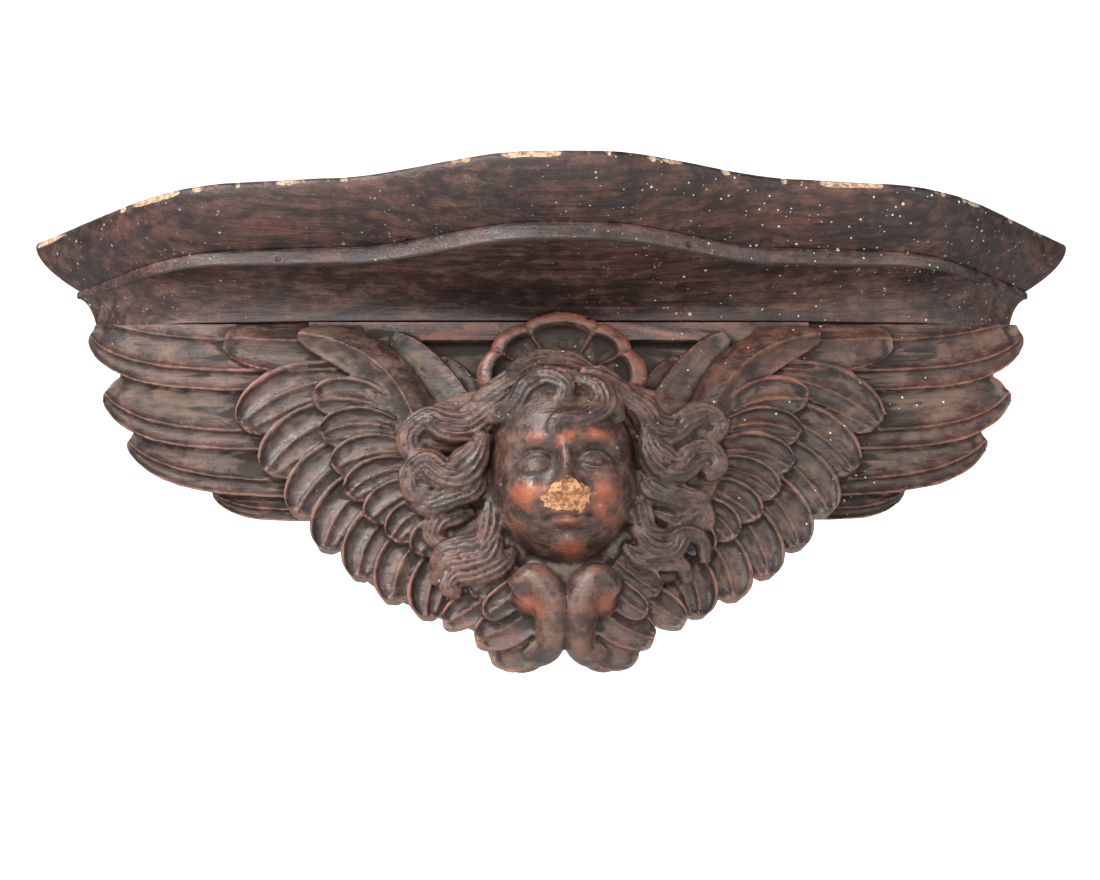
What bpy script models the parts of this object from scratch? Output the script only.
"""Carved walnut wall bracket: a winged child's head in high relief under a two-board serpentine shelf.

Metres, +Z up. The back of every board lies in the plane Y = 0 against the wall, and the front faces -Y.
The origin is on the back, on the centre line, behind the carved head.
The shelf is lofted from serpentine plan lines. The carving is one block: its feathers, locks and head are
closed shapes drawn in a frame of their own, fused by a voxel remesh, thinned, and sawn flat at back and top.
"""
import math

import bmesh
import bpy
from mathutils import Matrix, Vector

# The shelf: two boards, one on the other
SHELF_TOP = 0.160
SHELF_HALF_WIDTH = 0.406
SHELF_DEPTH = 0.217
SHELF_FLANK_DEPTH = 0.156
TOP_BOARD_HEIGHT = 0.040
COVE_BOARD_HEIGHT = 0.0425
BOARD_GAP = 0.0003
END_CANT = 1.15  # how fast the canted ends run back to the wall, depth over width

# The roll of the top board leans in over its height by these
ROLL_SETBACK_SIDE = 0.033
ROLL_SETBACK_FRONT = 0.042
ROLL_BELLY = 1.7  # above 1 the roll bulges
TOP_ARRIS = 0.004

# The fillet and cove of the lower board
FILLET_HEIGHT = 0.014
FILLET_END_HEIGHT = 0.006
COVE_FOOT_DEPTH = 0.060
COVE_FOOT_SIDE = 0.017

# The centre swell of the serpentine, as shares of the half width
SWELL_START = 0.05
SWELL_END = 0.44
FLANK_FALL = 0.16  # how much the flank's depth falls from the swell to the end, over the half width
KNEE_RADIUS = 0.042

PLAN_STEPS = 40
ROLL_STEPS = 8
COVE_STEPS = 6

# The carved block. Its shapes are drawn in units that are 1 mm at this width, with the joint at DRAWN_TOP.
CARVING_WIDTH = 0.716
DRAWN_WIDTH = 716.0
DRAWN_TOP = 77.2
UNIT = CARVING_WIDTH / DRAWN_WIDTH
CARVING_TOP = SHELF_TOP - TOP_BOARD_HEIGHT - COVE_BOARD_HEIGHT - BOARD_GAP
VOXEL = 2.5 * UNIT
CARVING_TRIANGLES = 8300
FACE_SHARE = 0.8  # the most that a point is marked to be spared when the mesh is thinned
FACE_CARE = 0.007  # how strongly the thinning heeds those marks
BEHIND_WALL = -6.0
ABOVE_JOINT = DRAWN_TOP + 6.0

# The top strip of the block, behind wings and crown
STRIP_FRONT = 60.0
STRIP_HEIGHT = 14.0

# Wood colours
DARK_WOOD = (0.055, 0.036, 0.028, 1.0)
COVE_WOOD = (0.075, 0.052, 0.042, 1.0)
CARVED_WOOD = (0.095, 0.062, 0.045, 1.0)


def clear_scene():
    for thing in list(bpy.data.objects):
        bpy.data.objects.remove(thing)


def wood(name, colour, roughness):
    material = bpy.data.materials.new(name)
    material.use_nodes = True
    shader = material.node_tree.nodes["Principled BSDF"]
    shader.inputs["Base Color"].default_value = colour
    shader.inputs["Roughness"].default_value = roughness
    shader.inputs["Metallic"].default_value = 0.0
    return material


def mix(a, b, share):
    return a + (b - a) * share


def ease(x):
    x = min(1.0, max(0.0, x))
    return x * x * (3 - 2 * x)


def soft_min(a, b, radius):
    """The lesser of two lengths, with the corner between them rounded."""
    h = max(radius - abs(a - b), 0.0) / radius
    return min(a, b) - h * h * radius * 0.25


# The serpentine shelf


class PlanLine:
    """A serpentine line seen from above: the depth from the wall at each place along the width."""

    def __init__(self, half_width, centre, flank):
        self.half_width = half_width
        self.centre = centre
        self.flank = flank

    def blended(self, other, share):
        return PlanLine(
            mix(self.half_width, other.half_width, share),
            mix(self.centre, other.centre, share),
            mix(self.flank, other.flank, share),
        )

    def depth(self, across):
        x = abs(across)
        swell = 1 - ease((x / self.half_width - SWELL_START) / (SWELL_END - SWELL_START))
        fall = FLANK_FALL * max(0.0, x - SWELL_END * self.half_width) * self.flank / SHELF_FLANK_DEPTH
        front = mix(self.flank, self.centre, swell) - fall
        cant = END_CANT * (self.half_width - x)
        return max(0.0, soft_min(front, cant, KNEE_RADIUS))

    def points(self, height):
        """The line from left to right, with its points closer together at the ends."""
        line = []
        for i in range(PLAN_STEPS + 1):
            turn = math.pi * i / PLAN_STEPS
            across = -self.half_width * mix(math.cos(turn), 1 - 2 * i / PLAN_STEPS, 0.6)
            z = height(across / self.half_width) if callable(height) else height
            line.append(Vector((across, -self.depth(across), z)))
        return line


def board(name, levels, material):
    """A board from plan lines at falling heights: front faces between the lines, flat top, bottom and back."""
    bm = bmesh.new()
    rings = [[bm.verts.new(p) for p in line.points(height)] for line, height in levels]
    for upper, lower in zip(rings, rings[1:]):
        for i in range(PLAN_STEPS):
            bm.faces.new((upper[i], upper[i + 1], lower[i + 1], lower[i]))
        bm.faces.new((upper[-1], upper[0], lower[0], lower[-1]))
    bm.faces.new(rings[0])
    bm.faces.new(rings[-1])
    bmesh.ops.recalc_face_normals(bm, faces=bm.faces)
    return finished(name, bm, material)


def finished(name, bm, material):
    mesh = bpy.data.meshes.new(name)
    bm.to_mesh(mesh)
    bm.free()
    mesh.shade_smooth()
    mesh.set_sharp_from_angle(angle=math.radians(35))
    mesh.materials.append(material)
    thing = bpy.data.objects.new(name, mesh)
    bpy.context.scene.collection.objects.link(thing)
    return thing


def roll_line():
    return PlanLine(SHELF_HALF_WIDTH, SHELF_DEPTH, SHELF_FLANK_DEPTH)


def fillet_line():
    return PlanLine(
        SHELF_HALF_WIDTH - ROLL_SETBACK_SIDE,
        SHELF_DEPTH - ROLL_SETBACK_FRONT,
        SHELF_FLANK_DEPTH - ROLL_SETBACK_FRONT,
    )


def cove_foot_line():
    return PlanLine(fillet_line().half_width - COVE_FOOT_SIDE, COVE_FOOT_DEPTH, COVE_FOOT_DEPTH)


def top_board(material):
    top, foot = roll_line(), fillet_line()
    eased = PlanLine(top.half_width - TOP_ARRIS, top.centre - TOP_ARRIS, top.flank - TOP_ARRIS)
    levels = [(eased, SHELF_TOP)]
    for i in range(ROLL_STEPS + 1):
        share = i / ROLL_STEPS
        drop = TOP_ARRIS + (TOP_BOARD_HEIGHT - TOP_ARRIS) * share
        levels.append((top.blended(foot, share**ROLL_BELLY), SHELF_TOP - drop))
    return board("top_board", levels, material)


def cove_board(material):
    top = SHELF_TOP - TOP_BOARD_HEIGHT - BOARD_GAP
    foot_height = SHELF_TOP - TOP_BOARD_HEIGHT - COVE_BOARD_HEIGHT
    fillet, foot = fillet_line(), cove_foot_line()
    levels = [(fillet, top)]
    for i in range(COVE_STEPS + 1):
        turn = math.pi / 2 * i / COVE_STEPS
        inward = math.sin(turn) ** 1.15

        def height(along, rise=math.cos(turn)):
            fillet_foot = top - mix(FILLET_HEIGHT, FILLET_END_HEIGHT, abs(along) ** 3)
            return mix(foot_height, fillet_foot, rise)

        levels.append((fillet.blended(foot, inward), height))
    return board("cove_board", levels, material)


# The carving. Places are (out, up): out from the centre line, up from the origin. Depth is from the wall.


class Side:
    """One wing's side of the drawing: -1 left of the centre line, +1 right of it."""

    def __init__(self, sign):
        self.sign = sign

    def point(self, out, depth, up):
        drop = (up - DRAWN_TOP) * UNIT
        return Vector((self.sign * out * UNIT, -depth * UNIT, CARVING_TOP + drop))


def bezier(points, share):
    """A point on the Bezier curve of any number of control points."""
    while len(points) > 1:
        points = [
            tuple(mix(a, b, share) for a, b in zip(p, q)) for p, q in zip(points, points[1:])
        ]
    return points[0]


def smooth_path(points, steps):
    """A Catmull-Rom curve through the points, as tuples."""
    ends = [points[0], *points, points[-1]]
    path = []
    spans = len(points) - 1
    for i in range(steps + 1):
        at = min(spans - 1e-6, spans * i / steps)
        k, t = int(at), at - int(at)
        p0, p1, p2, p3 = ends[k : k + 4]
        path.append(
            tuple(
                0.5
                * (
                    2 * b
                    + (c - a) * t
                    + (2 * a - 5 * b + 4 * c - d) * t * t
                    + (3 * b - a - 3 * c + d) * t**3
                )
                for a, b, c, d in zip(p0, p1, p2, p3)
            )
        )
    return path


def skin(bm, rows):
    """Closes a tube of equal rings, each a list of points, with a cap at both ends."""
    rings = [[bm.verts.new(p) for p in row] for row in rows]
    count = len(rings[0])
    faces = []
    for a, b in zip(rings, rings[1:]):
        for i in range(count):
            j = (i + 1) % count
            faces.append(bm.faces.new((a[i], a[j], b[j], b[i])))
    faces.append(bm.faces.new(rings[0]))
    faces.append(bm.faces.new(rings[-1]))
    bmesh.ops.recalc_face_normals(bm, faces=faces)


def tongue_width(share, root, widest, blunt):
    """The half width of a feather along its length, as a share of its widest."""
    if share < widest:
        return mix(root, 1.0, math.sin(math.pi / 2 * share / widest))
    rest = (share - widest) / (1 - widest)
    return math.sqrt(max(0.0, 1 - rest**blunt))


# A vane's flutes: where each starts and ends across it, how high each side stands, and how hollow it is
TRIPLE = ((-1.0, -0.5, -0.5, 1.5, 0.4), (-0.5, 0.4, -0.6, 2.0, 1.4), (0.4, 1.0, -1.2, 0.8, 1.0))
DOUBLE = ((-1.0, 0.4, -0.5, 2.0, 1.6), (0.4, 1.0, -1.2, 0.8, 1.0))
FLUTED = ((-1.0, -0.1, 3.0, 1.6, 2.4), (-0.1, 0.5, 0.4, 0.2, 1.4), (0.5, 1.0, -1.0, -1.6, 1.0))
HOLLOW = ((-1.0, 0.2, 2.6, 1.2, 2.2), (0.2, 1.0, 0.2, -1.0, 1.2))
CRESTED = ((-1.0, -0.3, -2.5, 3.0, 0.4), (-0.3, 1.0, 3.0, -1.0, 3.0))
RIDGED = ((-1.0, 0.0, -8.0, 4.0, -1.6), (0.0, 1.0, 4.0, -7.0, 2.4))
ROUNDED = ((-1.0, 1.0, -5.0, -5.0, -6.0),)
STEPS_PER_FLUTE = 3
FEATHER_STEPS = 9
WIDEST = 0.55  # the place of a feather's full width, as a share of its length
BACK_SHARE = 0.7  # the width of its back, as a share of its front


def feather(
    bm, side, spine, half_width, depths, vane=HOLLOW, root=0.6, blunt=(2.4, 2.4), thick=(26, 9)
):
    """A blade along a Bezier spine, root first, with its vane's flutes across it and a narrower back.

    The two numbers of blunt say how square its end is on the upper and on the lower side.
    """
    rows = []
    for i in range(FEATHER_STEPS + 1):
        share = 0.985 * i / FEATHER_STEPS
        out, up = bezier(spine, share)
        ahead, behind = bezier(spine, min(1.0, share + 0.02)), bezier(spine, max(0.0, share - 0.02))
        run, rise = ahead[0] - behind[0], ahead[1] - behind[1]
        length = math.hypot(run, rise)
        across = (rise / length, -run / length)
        upper, lower = (half_width * tongue_width(share, root, WIDEST, power) for power in blunt)
        front = mix(depths[0], depths[1], share)
        thickness = mix(thick[0], thick[1], share)
        flat = ((upper + lower) / 2 / half_width) ** 0.7
        top, low = [], []
        for start, end, near, far, hollow in vane:
            for j in range(STEPS_PER_FLUTE + 1):
                place = j / STEPS_PER_FLUTE
                t = mix(start + 0.02, end - 0.02, place)
                dish = hollow * (1 - (2 * place - 1) ** 2)
                depth = front + (mix(near, far, place) - dish) * flat
                reach = t * (upper if t < 0 else lower)
                top.append((out + across[0] * reach, depth, up + across[1] * reach))
        for reach in (lower * BACK_SHARE, -upper * BACK_SHARE):
            low.append((out + across[0] * reach, front - thickness, up + across[1] * reach))
        rows.append([side.point(*p) for p in top + low])
    skin(bm, rows)


def lock(bm, side, points, width, thick, steps=14, sides=8):
    """A lock of hair along points (out, depth, up), tapering to both ends."""
    path = [side.point(*p) for p in smooth_path(points, steps)]
    rows = []
    for i, place in enumerate(path):
        along = path[min(i + 1, steps)] - path[max(i - 1, 0)]
        along.normalize()
        across = along.cross(Vector((0, -1, 0))).normalized()
        forward = across.cross(along).normalized()
        share = i / steps
        swell = (0.55 + 0.45 * math.sin(math.pi * min(1.0, share * 1.6 + 0.1))) * (1 - 0.45 * share**3)
        ring = []
        for j in range(sides):
            turn = 2 * math.pi * j / sides
            ring.append(
                place
                + across * (math.cos(turn) * width * swell * UNIT)
                + forward * (math.sin(turn) * thick * swell * UNIT)
            )
        rows.append(ring)
    skin(bm, rows)


def ellipsoid(bm, centre, radii, segments=20, rings=12):
    """An egg round its centre, made of rings from its foot to its crown."""
    middle = Side(1).point(*centre)
    rows = []
    for i in range(rings + 1):
        lift = math.pi * mix(0.004, 0.996, i / rings)
        rows.append(
            [
                middle
                + Vector(
                    (
                        radii[0] * math.sin(lift) * math.cos(2 * math.pi * j / segments),
                        radii[1] * math.sin(lift) * math.sin(2 * math.pi * j / segments),
                        -radii[2] * math.cos(lift),
                    )
                )
                * UNIT
                for j in range(segments)
            ]
        )
    first = len(bm.verts)
    skin(bm, rows)
    bm.verts.ensure_lookup_table()
    return bm.verts[first:]


def block(bm, low, high):
    """A box between two corners, each (out, depth, up)."""
    a, b = Side(1).point(*low), Side(1).point(*high)
    made = bmesh.ops.create_cube(bm, size=1.0)
    size = Vector(abs(p - q) for p, q in zip(a, b))
    matrix = Matrix.Translation((a + b) / 2) @ Matrix.Diagonal((*size, 1.0))
    bmesh.ops.transform(bm, matrix=matrix, verts=made["verts"])


# The lower outline of the block behind the feathers, out and up, from the centre to the wing tip
BACK_OUTLINE = (
    (0, -140), (22, -176), (50, -176), (62, -152), (100, -136), (138, -118), (166, -90),
    (176, -66), (240, -50), (292, -25), (318, 14), (332, 46),
)  # fmt: skip
BACK_THICKNESS = 36.0
CORE_SHARE = 0.76  # the thicker core behind the coverts, as a share of the outline
CORE_THICKNESS = 48.0


def slab(bm, outline, thickness):
    """The outline and its mirror image, extruded out from the wall."""
    half = smooth_path(outline, 3 * len(outline))
    shape = [(out, up) for out, up in half] + [(half[-1][0], ABOVE_JOINT)]
    shape += [(-out, up) for out, up in reversed(shape[1:])]
    middle = Side(1)
    rows = [[middle.point(out, depth, up) for out, up in shape] for depth in (BEHIND_WALL, thickness)]
    skin(bm, rows)


def ground(bm):
    slab(bm, BACK_OUTLINE, BACK_THICKNESS)
    slab(bm, [(out * CORE_SHARE, up * CORE_SHARE) for out, up in BACK_OUTLINE], CORE_THICKNESS)
    block(bm, (-190, BEHIND_WALL, DRAWN_TOP - STRIP_HEIGHT), (190, STRIP_FRONT, ABOVE_JOINT))


# The long flight feathers: half width, depth, vane and the spine from root to tip
FLIGHT = (
    (27, 56, TRIPLE, ((170, 50), (270, 50), (322, 51), (358, 66))),
    (25, 52, DOUBLE, ((170, 4), (255, 2), (312, 3), (345, 25))),
    (21, 48, DOUBLE, ((160, -36), (240, -37), (292, -32), (325, -13))),
    (15, 44, DOUBLE, ((150, -60), (205, -62), (237, -63), (267, -49))),
)
FLIGHT_BLUNT = (6.0, 2.1)
# The covert along the leading edge
LEADING = (18, 64, ((150, 56), (190, 55), (228, 56), (255, 61)))
LONG_COUNT = 7
LONG_TIPS = ((241, -5), (182, -122), (99, -153))
LONG_ROOTS = ((160, 30), (150, -55), (78, -104))
LONG_HALF_WIDTHS = (23, 19)
LONG_DEPTHS = (60, 74)
MIDDLE_COUNT = 7
MIDDLE_TIPS = ((187, 14), (172, -78), (106, -108))
MIDDLE_ROOTS = ((130, 6), (122, -45), (84, -86))
MIDDLE_HALF_WIDTHS = (16, 14)
MIDDLE_DEPTHS = (70, 84)
COVERT_THICKNESS = (38, 18)
COVERT_BEND = 0.20  # how far a covert bows outwards, as a share of its length


def covert_row(bm, side, count, tips, roots, half_widths, depths, vane):
    """A fan of coverts round the wing, each lying on the one above it."""
    for i in range(count):
        share = i / (count - 1)
        tip, root = bezier(tips, share), bezier(roots, share)
        run, rise = tip[0] - root[0], tip[1] - root[1]
        bow = ((tip[0] + root[0]) / 2 - rise * COVERT_BEND, (tip[1] + root[1]) / 2 + run * COVERT_BEND)
        front = mix(*depths, share)
        feather(
            bm,
            side,
            (root, bow, tip),
            mix(*half_widths, share),
            (front + 3, front),
            vane,
            thick=COVERT_THICKNESS,
        )


def wing(bm, side):
    for half_width, depth, vane, spine in FLIGHT:
        feather(bm, side, spine, half_width, (depth + 2, depth - 5), vane, root=1.0, blunt=FLIGHT_BLUNT)
    half_width, depth, spine = LEADING
    feather(bm, side, spine, half_width, (depth, depth - 3), CRESTED, root=0.9, blunt=(5.0, 1.8))
    covert_row(bm, side, LONG_COUNT, LONG_TIPS, LONG_ROOTS, LONG_HALF_WIDTHS, LONG_DEPTHS, FLUTED)
    covert_row(
        bm, side, MIDDLE_COUNT, MIDDLE_TIPS, MIDDLE_ROOTS, MIDDLE_HALF_WIDTHS, MIDDLE_DEPTHS, HOLLOW
    )
    arm(bm, side)


# The wing's arm, two facets on a crest from the hair out to the wrist, with two slimmer bands inside it
ARM_SPINE = ((96, -90), (102, 0), (120, 54), (200, 65))
ARM_HALF_WIDTH = 19
ARM_BED_HALF_WIDTH = 34
ARM_DEPTHS = (86, 72)
ARM_BED_DEPTHS = (68, 58)  # the wider bed under it, where the coverts are rooted
INNER_SPINES = (((62, -8), (84, 14), (98, 40), (128, 66)), ((46, 2), (62, 16), (78, 34), (92, 50)))
INNER_HALF_WIDTHS = (13, 9)
INNER_DEPTHS = ((74, 64), (62, 54))


def arm(bm, side):
    feather(bm, side, ARM_SPINE, ARM_HALF_WIDTH, ARM_DEPTHS, RIDGED, root=0.9, thick=(60, 36))
    feather(bm, side, ARM_SPINE, ARM_BED_HALF_WIDTH, ARM_BED_DEPTHS, ROUNDED, root=0.9, thick=(50, 40))
    for spine, half_width, depths in zip(INNER_SPINES, INNER_HALF_WIDTHS, INNER_DEPTHS):
        feather(bm, side, spine, half_width, depths, ROUNDED, thick=(40, 24))


# Each small wing under the chin: a knob, a smooth arm curling down from it, and a fan of short feathers
KNOB = (26, 84, -141)
KNOB_RADII = (16, 26, 15)
CURL = ((32, 94, -140), (22, 98, -134), (12, 98, -146), (9, 94, -162), (15, 90, -178), (30, 82, -188))
CURL_WIDTH = 15
BREAST_FEATHERS = (
    (20, 78, ((16, -156), (34, -170), (53, -187))),
    (16, 84, ((20, -144), (40, -156), (70, -172))),
    (12, 82, ((44, -128), (66, -144), (89, -160))),
    (10, 92, ((34, -130), (42, -142), (56, -153))),
    (10, 88, ((40, -118), (54, -130), (68, -142))),
)
# The solid wood behind them: centre and radii
BREAST_BEDS = (((30, 50, -158), (26, 34, 32)), ((76, 50, -133), (27, 26, 19)))


def breast(bm, side):
    ellipsoid(bm, (side.sign * KNOB[0], *KNOB[1:]), KNOB_RADII)
    lock(bm, side, CURL, CURL_WIDTH, 22, sides=10)
    for half_width, depth, spine in BREAST_FEATHERS:
        feather(bm, side, spine, half_width, (depth + 3, depth), HOLLOW, root=0.8, thick=(44, 24))
    for (out, depth, up), radii in BREAST_BEDS:
        ellipsoid(bm, (side.sign * out, depth, up), radii)


# The fluted crown behind the head: its segments fan round this centre
CROWN_CENTRE = (0, 22)
CROWN_HALF_WIDTH = 65.0
CROWN_HEIGHT = 56.0
CROWN_SEGMENTS = 5
CROWN_SWEEP = math.radians(172)
CROWN_HOLLOW = 4.5
CROWN_RIM = 0.82
CROWN_PROFILE = ((0.30, 78), (0.60, 76), (0.79, 79), (0.83, 89), (0.90, 91), (1.0, 86))  # reach from the centre, depth


def crown(bm):
    """Each segment is a hollow flute that rises from the head to a thick rim."""
    step = CROWN_SWEEP / CROWN_SEGMENTS
    middle = Side(1)
    for k in range(CROWN_SEGMENTS):
        heading = math.pi / 2 + (k - (CROWN_SEGMENTS - 1) / 2) * step
        rows = []
        for i in range(7):
            place = i / 3 - 1
            turn = heading + step * 0.48 * place
            bulge = 1 - 0.05 * place**2
            ring = []
            for reach, front in CROWN_PROFILE:
                dish = CROWN_HOLLOW * (1 - place**2) if 0.3 < reach < CROWN_RIM else 0.0
                ring.append((reach * bulge, front - dish))
            ring += [(0.94 * bulge, 36), (0.30, 36)]
            rows.append(
                [
                    middle.point(
                        CROWN_CENTRE[0] + math.cos(turn) * reach * CROWN_HALF_WIDTH,
                        depth,
                        CROWN_CENTRE[1] + math.sin(turn) * reach * CROWN_HEIGHT,
                    )
                    for reach, depth in ring
                ]
            )
        skin(bm, rows)


# The head: an egg with a child's full cheeks, its features placed by the usual shares of a child's face
HEAD_CENTRE = (-1, 74, -43)
HEAD_RADII = (56, 70, 76)
HEAD_ROLL = math.radians(3)
BROKEN_NOSE_DEPTH = 153.0
# Each feature: across and up as shares of the head's half width and half height, its spread, and its rise
FEATURES = (
    (0.0, 0.42, 0.70, 0.34, 3.0),
    (0.40, 0.13, 0.26, 0.07, 2.6),
    (0.37, -0.08, 0.24, 0.13, -8.0),
    (0.15, -0.04, 0.09, 0.12, -3.5),
    (0.385, -0.10, 0.15, 0.085, 8.6),
    (0.0, -0.10, 0.10, 0.17, 5.0),
    (0.0, -0.29, 0.115, 0.10, 10.0),
    (0.0, -0.38, 0.15, 0.08, 12.0),
    (0.15, -0.405, 0.08, 0.055, 6.0),
    (0.48, -0.44, 0.30, 0.24, 9.5),
    (0.30, -0.27, 0.10, 0.10, -1.5),
    (0.0, -0.58, 0.26, 0.13, 6.0),
    (0.0, -0.58, 0.17, 0.034, 3.0),
    (0.0, -0.67, 0.15, 0.038, 4.4),
    (0.27, -0.615, 0.05, 0.05, -2.6),
    (0.0, -0.735, 0.16, 0.035, -2.6),
    (0.0, -0.86, 0.20, 0.11, 8.5),
    (0.0, -0.62, 0.24, 0.022, -3.0),
)
CHEEK_FULLNESS = 0.09  # how much wider the head is at the cheeks than the egg


def head(bm):
    verts = ellipsoid(bm, HEAD_CENTRE, HEAD_RADII, segments=120, rings=90)
    centre = Side(1).point(*HEAD_CENTRE)
    for v in verts:
        offset = (v.co - centre) / UNIT
        across, up = offset.x / HEAD_RADII[0], offset.z / HEAD_RADII[2]
        if offset.y > 0:
            continue
        facing = ease(-offset.y / HEAD_RADII[1] * 1.6)
        rise = sum(
            height * math.exp(-(((abs(across) - u) / du) ** 2) - ((up - w) / dw) ** 2)
            for u, w, du, dw, height in FEATURES
        )
        v.co.x += offset.x * UNIT * CHEEK_FULLNESS * math.exp(-(((up + 0.42) / 0.36) ** 2))
        v.co.y -= rise * facing * UNIT
        v.co.y = max(v.co.y, -BROKEN_NOSE_DEPTH * UNIT)
    roll = Matrix.Translation(centre) @ Matrix.Rotation(-HEAD_ROLL, 4, "Y") @ Matrix.Translation(-centre)
    bmesh.ops.transform(bm, matrix=roll, verts=verts)


# Locks of hair: half width, thickness, and the path (out, depth, up) from the scalp to the tip
LEFT_LOCKS = (
    (13, 11, ((33, 112, 11), (54, 106, -4), (70, 100, -14), (88, 100, -14), (101, 98, -9), (114, 94, -20), (112, 94, -34), (102, 96, -30))),
    (14, 12, ((59, 108, -21), (66, 108, -38), (78, 102, -50), (90, 100, -50), (101, 98, -43), (113, 94, -50), (110, 94, -64), (99, 96, -60))),
    (12, 10, ((59, 100, -45), (70, 98, -60), (86, 96, -67), (102, 92, -73), (114, 86, -64))),
    (10, 8, ((66, 88, -76), (84, 88, -79), (95, 88, -86), (97, 86, -96), (86, 88, -100))),
    (10, 9, ((54, 96, -62), (55, 96, -88), (62, 94, -102), (76, 92, -103), (90, 90, -106), (96, 84, -120))),
    (10, 9, ((48, 98, -95), (58, 96, -112), (74, 94, -115), (87, 92, -117), (97, 86, -130))),
    (10, 9, ((36, 94, -106), (49, 94, -118), (65, 92, -124), (80, 92, -125), (86, 92, -134), (76, 92, -138))),
)  # fmt: skip
RIGHT_LOCKS = (
    (13, 11, ((32, 114, 12), (56, 108, -2), (67, 102, -16), (81, 100, -18), (92, 100, -9), (107, 96, -4), (117, 94, -14), (108, 96, -25))),
    (14, 12, ((60, 108, -18), (65, 108, -36), (76, 102, -45), (87, 100, -45), (96, 98, -36), (109, 94, -33), (114, 94, -44), (103, 96, -51))),
    (12, 10, ((56, 100, -47), (68, 98, -62), (82, 96, -67), (98, 92, -67), (110, 86, -60))),
    (10, 8, ((62, 88, -74), (84, 88, -80), (100, 88, -75), (106, 86, -84), (94, 88, -88))),
    (10, 9, ((54, 96, -62), (57, 96, -86), (64, 94, -96), (76, 92, -96), (88, 88, -88))),
    (10, 9, ((50, 98, -89), (64, 96, -105), (79, 94, -106), (88, 92, -95), (101, 90, -98), (104, 86, -115))),
    (10, 9, ((42, 94, -103), (58, 94, -112), (73, 92, -114), (86, 90, -118), (90, 86, -130))),
)  # fmt: skip
# The fringe over the brow crosses the centre line, so these are drawn from left to right of it
FRINGE = (
    (13, 9, ((10, 106, 32), (-20, 106, 30), (-42, 112, 14), (-60, 108, 2), (-76, 100, -8))),
    (10, 7, ((-8, 124, 18), (-26, 126, 9), (-36, 122, -3), (-48, 114, -10), (-62, 106, -8))),
    (9, 7, ((-27, 122, 16), (-10, 128, 16), (0, 132, 8), (-3, 134, -3), (-15, 134, -8))),
    (9, 8, ((4, 126, 16), (24, 128, 9), (28, 132, -7), (13, 138, -17), (-2, 142, -19), (-10, 143, -27), (-4, 142, -34))),
    (10, 7, ((12, 120, 22), (34, 118, 13), (48, 112, 3), (62, 106, 0))),
    (8, 6, ((24, 126, 10), (36, 124, -2), (41, 118, -16))),
)  # fmt: skip
CAP = ((0, 62, -30), (60, 58, 62))
# The masses of hair that the side locks lie on: half width, depth and spine
HAIR_MASSES = (
    (20, 98, ((40, 0), (80, -8), (112, -24))),
    (22, 90, ((45, -36), (80, -50), (114, -58))),
    (20, 84, ((45, -70), (70, -88), (90, -98))),
    (18, 88, ((36, -96), (60, -110), (88, -120))),
)


def hair(bm):
    ellipsoid(bm, *CAP, segments=24, rings=16)
    for side, locks in ((Side(-1), LEFT_LOCKS), (Side(1), RIGHT_LOCKS), (Side(1), FRINGE)):
        for width, thick, points in locks:
            lock(bm, side, points, width, thick)
    for side in (Side(-1), Side(1)):
        for half_width, depth, spine in HAIR_MASSES:
            feather(bm, side, spine, half_width, (depth + 6, depth), ROUNDED, root=1.0, thick=(44, 44))


NECK = (0, 62, -120)
NECK_RADII = (48, 32, 30)


def neck(bm):
    ellipsoid(bm, NECK, NECK_RADII)


def sawn(bm, place, outward):
    """Cuts off what lies past a plane and closes the cut with one flat face."""
    geometry = bm.verts[:] + bm.edges[:] + bm.faces[:]
    cut = bmesh.ops.bisect_plane(
        bm, geom=geometry, plane_co=place, plane_no=outward, clear_outer=True, dist=1e-6
    )
    rim = [e for e in cut["geom_cut"] if isinstance(e, bmesh.types.BMEdge)]
    bmesh.ops.contextual_create(bm, geom=rim)


def linked(name, mesh):
    thing = bpy.data.objects.new(name, mesh)
    bpy.context.scene.collection.objects.link(thing)
    return thing


def evaluated(thing):
    graph = bpy.context.evaluated_depsgraph_get()
    mesh = bpy.data.meshes.new_from_object(thing.evaluated_get(graph))
    bpy.data.objects.remove(thing)
    return mesh


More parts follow.
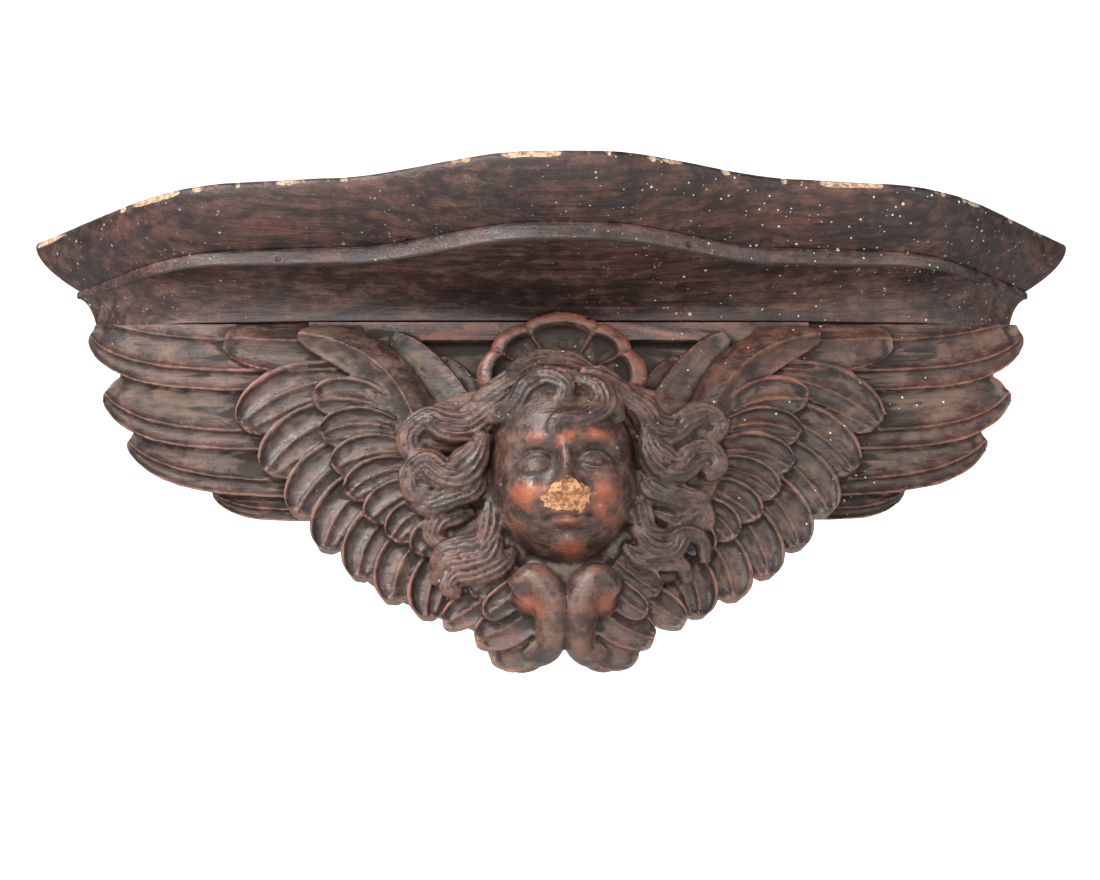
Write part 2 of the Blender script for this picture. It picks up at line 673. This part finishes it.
def spare_face(thing):
    """Marks the points of the face, and less so of the hair round it, that the thinning spares."""
    group = thing.vertex_groups.new(name="face")
    centre = Side(1).point(*HEAD_CENTRE)
    for v in thing.data.vertices:
        across = (v.co.x - centre.x) / (HEAD_RADII[0] * UNIT)
        up = (v.co.z - centre.z) / (HEAD_RADII[2] * UNIT)
        if v.co.y < centre.y:
            group.add([v.index], FACE_SHARE * ease(2.4 - 1.6 * math.hypot(across, up)), "REPLACE")
    return group.name


def drop_pockets(bm):
    """Keeps the largest shell, the outer skin, and drops the closed pockets inside it."""
    left = set(bm.verts)
    shells = []
    while left:
        edge = {left.pop()}
        shell = set(edge)
        while edge:
            edge = {e.other_vert(v) for v in edge for e in v.link_edges} & left
            left -= edge
            shell |= edge
        shells.append(shell)
    shells.sort(key=len)
    for shell in shells[:-1]:
        bmesh.ops.delete(bm, geom=list(shell), context="VERTS")


def fused(bm, triangles):
    """The overlapping shapes as one closed skin, thinned to a number of triangles."""
    mesh = bpy.data.meshes.new("shapes")
    bm.to_mesh(mesh)
    shapes = linked("shapes", mesh)
    remesh = shapes.modifiers.new("fuse", "REMESH")
    remesh.mode = "VOXEL"
    remesh.voxel_size = VOXEL
    whole = linked("whole", evaluated(shapes))
    thin = whole.modifiers.new("thin", "DECIMATE")
    thin.ratio = triangles / (2 * len(whole.data.polygons))
    thin.vertex_group = spare_face(whole)
    thin.invert_vertex_group = True
    thin.vertex_group_factor = FACE_CARE
    bm.clear()
    bm.from_mesh(evaluated(whole))
    drop_pockets(bm)


def winged_head(material):
    bm = bmesh.new()
    ground(bm)
    for side in (Side(-1), Side(1)):
        wing(bm, side)
        breast(bm, side)
    crown(bm)
    head(bm)
    hair(bm)
    neck(bm)
    fused(bm, CARVING_TRIANGLES)
    sawn(bm, (0, 0, 0), (0, 1, 0))
    sawn(bm, (0, 0, CARVING_TOP), (0, 0, 1))
    bmesh.ops.triangulate(bm, faces=bm.faces)
    bmesh.ops.recalc_face_normals(bm, faces=bm.faces)
    return finished("winged_head", bm, material)


def main():
    clear_scene()
    top_board(wood("dark_wood", DARK_WOOD, 0.42))
    cove_board(wood("cove_wood", COVE_WOOD, 0.5))
    winged_head(wood("carved_wood", CARVED_WOOD, 0.45))


main()
